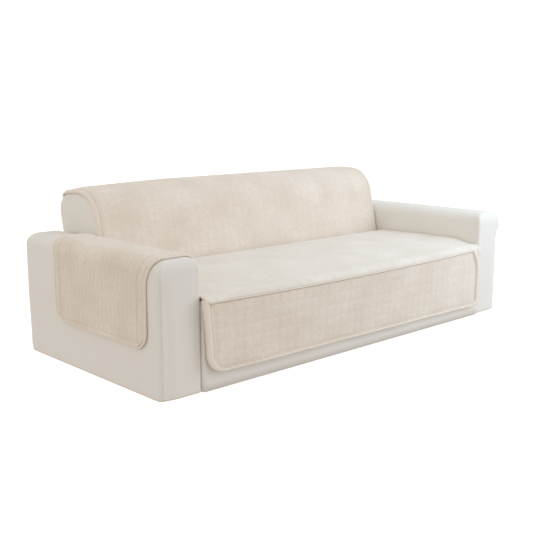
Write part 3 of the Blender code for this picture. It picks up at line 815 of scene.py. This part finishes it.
def quiltLines(low, high, pitch, steps):  # places across a quilt, closest beside its sewn lines
    ease = [0.5 - 0.5 * math.cos(math.pi * k / steps) for k in range(steps)]
    ease = [between(k / steps, e, 0.6) for k, e in enumerate(ease)]
    first = math.floor(low / pitch)
    found = [(cell + e) * pitch for cell in range(first, math.ceil(high / pitch) + 1) for e in ease]
    return [x for x in found if low < x < high]


def sortedRows(length, border, fine, inner):  # close rows near both ends, and the inner ones
    count = round(border / fine)
    close = [border * k / count for k in range(count + 1)]
    rows = close + [x for x in inner if border + 0.001 < x < length - border - 0.001]
    return rows + [length - x for x in reversed(close)]


# columns of (along, down) spots, drawn in round the corners above and below the rows to keep
def clothGrid(low, high, rows, keep, leftRounds, rightRounds, edges, columns, steps):
    leftEdge, rightEdge, startEdge, endEdge = edges
    left, right = low + leftEdge, high - rightEdge
    reaches = [max(max(leftRounds) - leftEdge, 0.03), max(max(rightRounds) - rightEdge, 0.03)]
    swing = [1.0 - math.cos(quarter * k / steps) for k in range(steps)]
    alongs = [left + reaches[0] * s for s in swing]
    alongs += [c for c in columns if left + reaches[0] < c < right - reaches[1]]
    alongs += [right - reaches[1] * s for s in reversed(swing)]
    grid = []
    for along in alongs:
        onLeft = along - left < right - along
        rounds, sideEdge = (leftRounds, leftEdge) if onLeft else (rightRounds, rightEdge)
        fromSide = along - left if onLeft else right - along
        ends = []
        for radius, edge in zip(rounds, (startEdge, endEdge)):
            radius = max(radius - max(edge, sideEdge), 0.0)
            short = max(radius - fromSide, 0.0)
            ends.append(edge + radius - math.sqrt(radius * radius - short * short))
        first, last = rows[0] + ends[0], rows[-1] - ends[1]
        column = []
        for row in rows:
            if row < keep[0]:
                row = between(keep[0], first, (keep[0] - row) / (keep[0] - rows[0]))
            elif row > keep[1]:
                row = between(keep[1], last, (row - keep[1]) / (rows[-1] - keep[1]))
            column.append((along, row))
        grid.append(column)
    return grid


def edgeDistance(low, high, length, leftRounds, rightRounds, openStart, closer=1.0):
    def measure(along, down):  # how far inside the outline, the ends counted as that much farther
        side = min(along - low, high - along)
        radii = leftRounds if along - low < high - along else rightRounds
        best = side
        start = openStart[0] + 10 * max(down - openStart[1], 0.0) if openStart else down * closer
        for end, radius in ((start, radii[0]), ((length - down) * closer, radii[1])):
            if side < radius and end < radius:
                end = radius - math.hypot(radius - side, radius - end)
            best = min(best, end)
        return best

    return measure


def rimOf(grid):
    columns, rows = len(grid), len(grid[0])
    start = [(i, 0) for i in range(columns)]
    right = [(columns - 1, j) for j in range(1, rows)]
    end = [(i, rows - 1) for i in range(columns - 2, -1, -1)]
    left = [(0, j) for j in range(rows - 2, 0, -1)]
    return start + right + end + left


def layPanel(name, grid, surface, relief, distance, binding, material):
    columns, rows = len(grid), len(grid[0])
    spots = [grid[i][j] for i in range(columns) for j in range(rows)]
    inside = [distance(*spot) for spot in spots]
    under = [surface(*spot, 0.0) for spot in spots]
    face = []
    for spot, edge in zip(spots, inside):
        full = smooth(edge, binding, binding + cloth["seamFade"])
        lift = between(cloth["seamThick"], cloth["thick"] + relief(*spot, edge), full)
        face.append(surface(*spot, lift))
    above = columns * rows
    faces = []
    for i in range(columns - 1):
        for j in range(rows - 1):
            a, b = i * rows + j, (i + 1) * rows + j
            faces.append((a, a + 1, b + 1, b))
            faces.append((above + a, above + b, above + b + 1, above + a + 1))
    rim = [i * rows + j for i, j in rimOf(grid)]
    for a, b in zip(rim, rim[1:] + rim[:1]):
        faces.append((a, b, above + b, above + a))
    piece = closedMesh(name, under + face, faces, material)
    uv = piece.data.uv_layers.new(name="alongDown").data
    corner = [0] * len(piece.data.loops)
    piece.data.loops.foreach_get("vertex_index", corner)
    uv.foreach_set("uv", [value for k in corner for value in spots[k % above]])
    piece.data.attributes.new("fromEdge", "FLOAT", "POINT").data.foreach_set("value", inside + inside)
    return piece


def closedMesh(name, points, faces, material):
    mesh = bpy.data.meshes.new(name)
    mesh.from_pydata([tuple(point + toPart) for point in points], [], faces)
    work = bmesh.new()
    work.from_mesh(mesh)
    bmesh.ops.recalc_face_normals(work, faces=work.faces)
    work.to_mesh(mesh)
    work.free()
    mesh.shade_smooth()
    mesh.set_sharp_from_angle(angle=math.radians(cloth["sharpest"]))
    mesh.materials.append(material)
    piece = addObject(name, mesh)
    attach(piece, "root")
    return piece


def rollSection(width, high=None, square=cloth["rollSquare"]):  # a soft roll that rests on the surface
    ring, high = [], high or cloth["rollThick"] + cloth["rollSwell"] * width
    middle, half = (cloth["sewnGap"] + width) / 2, (width - cloth["sewnGap"]) / 2
    for k in range(cloth["rollSteps"]):
        angle = 2 * math.pi * k / cloth["rollSteps"]
        wide = math.copysign(abs(math.cos(angle)) ** square, math.cos(angle))
        tall = math.copysign(abs(math.sin(angle)) ** square, math.sin(angle))
        ring.append((middle + half * wide, high * (0.5 + 0.5 * tall)))
    return ring


def layBinding(name, route, surface, widths, closed, material, *roll):
    left, right, ends = widths
    rings, count = [], len(route)
    for k, here in enumerate(route):
        here = Vector(here)
        before = Vector(route[k - 1]) if closed or k else here
        after = Vector(route[(k + 1) % count]) if closed or k < count - 1 else here
        ways = [(b - a).normalized() for a, b in ((before, here), (here, after)) if b != a]
        sides = [Vector((way.y, -way.x)) for way in ways]
        out = sum(sides, Vector((0.0, 0.0))).normalized()
        section = rollSection(between(ends, left if out.x < 0 else right, out.x ** 2), *roll)
        out = out / max(out.dot(sides[0]), 0.5)
        rings.append([surface(*(here + reach * out), lift) for reach, lift in section])
    size = len(rings[0])
    points = [point for ring in rings for point in ring]
    faces = []
    for r in range(count if closed else count - 1):
        here, there = r * size, (r + 1) % count * size
        for k in range(size):
            after = (k + 1) % size
            faces.append((here + k, here + after, there + after, there + k))
    if not closed:
        faces += [tuple(range(size)), tuple(range(len(points) - size, len(points)))]
    return closedMesh(name, points, faces, material)


def puff(x, pitch):  # 0 on a sewn line, 1 in the middle of its channel
    return abs(math.sin(math.pi * x / pitch)) ** 0.7


def edgeGrooves(edge, lines, depth):
    return -depth * sum(hump(edge, line, cloth["grooveWidth"]) for line in lines)


def hemmed(piece, binding, nodes, flat, held, restsOn):
    for item, node in zip((piece, binding), nodes):
        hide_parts(node)
    print(piece.name, "laid,", len(piece.data.polygons) * 2, "triangles")


def boundQuilt(name, cover, surface, outline, columns, inner, pitch, relief, trim):
    (low, high, length), rounds, widths = outline, cover["corners"], cover["bindings"]
    start, end = cover["straight"]
    rows = sortedRows(length, *cover["closeRows"], inner)
    grid = clothGrid(low, high, rows, (start, length - end), rounds, rounds, (*widths, widths[2]),
                     columns, cover["cornerSteps"])
    distance = edgeDistance(low, high, length, rounds, rounds, None, cover["hemLines"])
    material = quiltedCotton(name + "Quilt", cover, pitch)
    piece = layPanel(name + "Cover", grid, surface, relief, distance, widths[2], material)
    route = [grid[i][j] for i, j in rimOf(grid)]
    binding = layBinding(name + "CoverBinding", route, surface, widths, True, trim, *cover.get("roll", ()))
    return piece, binding


def makeArmCover(trim, restsOn):
    lines, pitch, border = armCover["edgeLines"], armCover["channel"], armCover["closeRows"][0]
    binding = armCover["bindings"][0]

    def relief(along, down, edge):
        inner = smooth(edge, lines[-1], lines[-1] + 0.003)
        depth = armCover["channelDepth"] * (1 + cloth["unevenness"] * wander(along, down, 0.06, 3.0))
        ribs = depth * (0.35 * puff(along, pitch) + 0.75 * puff(along, pitch / 2) - 0.6)
        across = (edge - binding) / (lines[0] - binding)
        bulge = armCover["bulge"] * math.sin(math.pi * min(max(across, 0.0), 1.0)) ** 0.8
        return inner * ribs + bulge + edgeGrooves(edge, lines, armCover["grooveDepth"])

    columns = quiltLines(0.0, armWidthAcross, pitch / 2, armCover["channelSteps"])
    inner = [border + armCover["rowGap"] * k for k in range(200)]
    pieces = boundQuilt("arm", armCover, onArm, (0.0, armWidthAcross, armSection.length), columns, inner,
                        (pitch / 2, 0.0), relief, trim)
    hemmed(*pieces, ("arm_panel", "arm_binding"), (0.748, 0.642), "draped", restsOn)


def squares(cover):
    (across, downward), lines = cover["square"], cover["edgeLines"]

    def relief(along, down, edge):
        inner = smooth(edge, lines[-1], lines[-1] + 0.004)
        uneven = 1 + cloth["unevenness"] * wander(along, down, 0.09, 7.0)
        rise = cover["squareDepth"] * uneven * (puff(along, across) * puff(down, downward) - 0.35)
        return inner * rise + edgeGrooves(edge, lines, cloth["grooveDepth"])

    return relief


def squareQuilt(name, cover, surface, length, trim):
    half, square, steps = cover["halfLength"], cover["square"], cover["squareSteps"]
    columns = quiltLines(-half, half, square[0], steps[0])
    inner = quiltLines(0.0, length, square[1], steps[1])
    return boundQuilt(name, cover, surface, (-half, half, length), columns, inner, square, squares(cover),
                      trim)


def makeBackCover(trim, restsOn):
    pieces = squareQuilt("back", backCover, onBack, backLine.length, trim)
    hemmed(*pieces, ("back_panel", "back_binding"), (1.896, 0.847), "draped", restsOn)


def makeSeatCover(trim, restsOn):
    pieces = squareQuilt("seat", seatCover, onSeat, seatSection.length, trim)
    hemmed(*pieces, ("seat_panel", "seat_binding"), (1.908, 0.746), "draped", restsOn)


def makeSkirt(trim, restsOn):
    low, high, square, steps = skirt["leftX"], skirt["rightX"], skirt["square"], skirt["squareSteps"]
    left, right, hem = skirt["bindings"]
    roundLeft, roundRight = skirt["corners"]
    closeHigh, closeCount = skirt["closeRows"]
    inner = quiltLines(0.0, skirtDrop, square[1], steps[1])
    rows = [0.0] + [x for x in inner if 0.002 < x < skirtDrop - closeHigh - 0.002]
    rows += [skirtDrop - closeHigh + closeHigh * k / closeCount for k in range(closeCount + 1)]
    grid = clothGrid(low, high, rows, (0.0, skirtDrop - skirt["straight"]), (0.0, roundLeft),
                     (0.0, roundRight), (left, right, 0.0, hem), quiltLines(low, high, square[0], steps[0]),
                     skirt["cornerSteps"])
    # its open top counts as lying on its edge line, so the top band gets the painted shadow under the seat
    # cover's lip
    distance = edgeDistance(low + left, high - right, skirtDrop - hem, (0.0, roundLeft - left),
                            (0.0, roundRight - right), (skirt["edgeLines"][0], skirt["lipShadowWidth"]),
                            skirt["hemLines"])
    quilted = squares(skirt)
    depth, away, width = skirt["valley"]

    def relief(along, down, edge):
        return quilted(along, down, edge) - depth * hump(edge, away, width) * smooth(down, 0.01, 0.05)

    material = quiltedCotton("skirtQuilt", skirt, square)
    piece = layPanel("frontSkirt", grid, onSkirt, relief, distance, 0.0, material)
    route = grid[-1] + [column[-1] for column in grid[-2:0:-1]] + grid[0][::-1]
    binding = layBinding("frontSkirtBinding", route, onSkirt, skirt["bindings"], False, trim)
    hemmed(piece, binding, ("skirt_panel", "skirt_binding"), (1.899, 0.297), "hung", restsOn)


# floor and light

studio = {
    "floor": "#BCBAB7",
    "floorSize": 60.0,
    "floorDrop": 0.0005,  # under the feet
    "floorGlow": 0.80,
    "away": (0.707, 0.707, 0.0),  # from the camera's side to the far side
    "room": (0.845, 0.83, 0.94),  # how bright it is behind the camera, at its sides and beyond
    "overhead": 0.15,  # how much darker it is overhead
    "roomTint": "#FFFDFA",
    "roomBelow": 0.55,  # how bright it is below the horizon
    "horizon": 0.06,  # how far down it takes to turn into that
    "belowTint": "#FFF3E9",
    "backdrop": 1.1,  # the plain white that the camera sees
    "lamps": (  # name, place, aim, size, watts, tint
        ("softLeft", (-3.8, 0.9, 1.5), (-1.1, 0.4, 0.6), 1.5, 6.0, "#FFF8F0"),
        ("softTop", (1.7, -0.8, 3.0), (0.4, 0.2, 0.4), 2.0, 13.5, "#C4E4FF"),
        ("softFront", (1.4, -1.9, 1.2), (0.9, -0.3, 0.3), 1.6, 19.0, "#D2E9FF"),
    ),
}
white = (1.0, 1.0, 1.0, 1.0)


def addFloor():
    bpy.ops.object.select_all(action="DESELECT")
    bpy.ops.mesh.primitive_plane_add(size=studio["floorSize"], location=(0.0, 0.0, -studio["floorDrop"]))
    floor = bpy.context.object
    floor.name = "floor"
    glowing = {"Base Color": linear(studio["floor"]), "Roughness": 0.9,
               "Emission Color": white, "Emission Strength": studio["floorGlow"]}
    floor.data.materials.append(finishMaterial(newMaterial("paleFloor")[0], glowing))
    floor.visible_diffuse = False  # the room below lights the undersides instead
    print("floor laid")


def addLight():
    world = bpy.data.worlds.new("studio")
    bpy.context.scene.world = world
    world.use_nodes = True
    tree = world.node_tree
    tree.nodes.clear()
    way = addNode(tree, "TexCoord").outputs["Generated"]
    up = addNode(tree, "SeparateXYZ", links={0: way}).outputs["Z"]
    away = addNode(tree, "VectorMath", {"operation": "DOT_PRODUCT", 1: studio["away"]}, {0: way})
    away = away.outputs["Value"]
    behind, beside, beyond = studio["room"]
    hither = {"From Min": -1.0, "From Max": 0.0, "To Min": behind, "To Max": beside}
    near = addNode(tree, "MapRange", hither, {"Value": away})
    far = addNode(tree, "MapRange", {"To Max": beyond - beside}, {"Value": away})
    around = addNode(tree, "Math", plus, {0: near, 1: far})
    dimmed = addNode(tree, "MapRange", {"To Min": 1.0, "To Max": 1.0 - studio["overhead"]}, {"Value": up})
    strength = addNode(tree, "Math", times, {0: around, 1: dimmed})
    above = addNode(tree, "Background", {"Color": linear(studio["roomTint"])}, {"Strength": strength})
    underneath = {"Color": linear(studio["belowTint"]), "Strength": studio["roomBelow"]}
    below = addNode(tree, "Background", underneath)
    rise = addNode(tree, "MapRange", {"From Min": -studio["horizon"], "From Max": 0.0}, {"Value": up})
    lit = addNode(tree, "MixShader", links={0: rise, 1: below, 2: above})
    plain = addNode(tree, "Background", {"Color": white, "Strength": studio["backdrop"]})
    seen = addNode(tree, "LightPath").outputs["Is Camera Ray"]
    sky = addNode(tree, "MixShader", links={0: seen, 1: lit, 2: plain})
    addNode(tree, "OutputWorld", links={"Surface": sky})
    for name, place, aim, size, watts, tint in studio["lamps"]:
        data = bpy.data.lights.new(name, "AREA")
        data.size, data.energy, data.color = size, watts, linear(tint)[:3]
        lamp = addObject(name, data)
        lamp.location = place
        lamp.rotation_euler = (Vector(aim) - Vector(place)).to_track_quat("-Z", "Y").to_euler()
    bpy.context.scene.view_settings.view_transform = "Standard"
    print("studio lit")


setCamera()
coated = coatedUpholstery()
cottonTape = wovenTape()
print("materials made")
armMiddle = innerX + sofa["armWidth"] / 2
armLeft = makeArm("armLeft", -armMiddle, "sofa_arm_left", coated)
makeArm("armRight", armMiddle, "sofa_arm_right", coated)
seatBlock = makeSeat(coated)
backrest = makeBackrest(coated)
makeArmCover(cottonTape, [armLeft])
makeBackCover(cottonTape, [backrest])
makeSeatCover(cottonTape, [seatBlock])
makeSkirt(cottonTape, [seatBlock])
addFloor()
addLight()
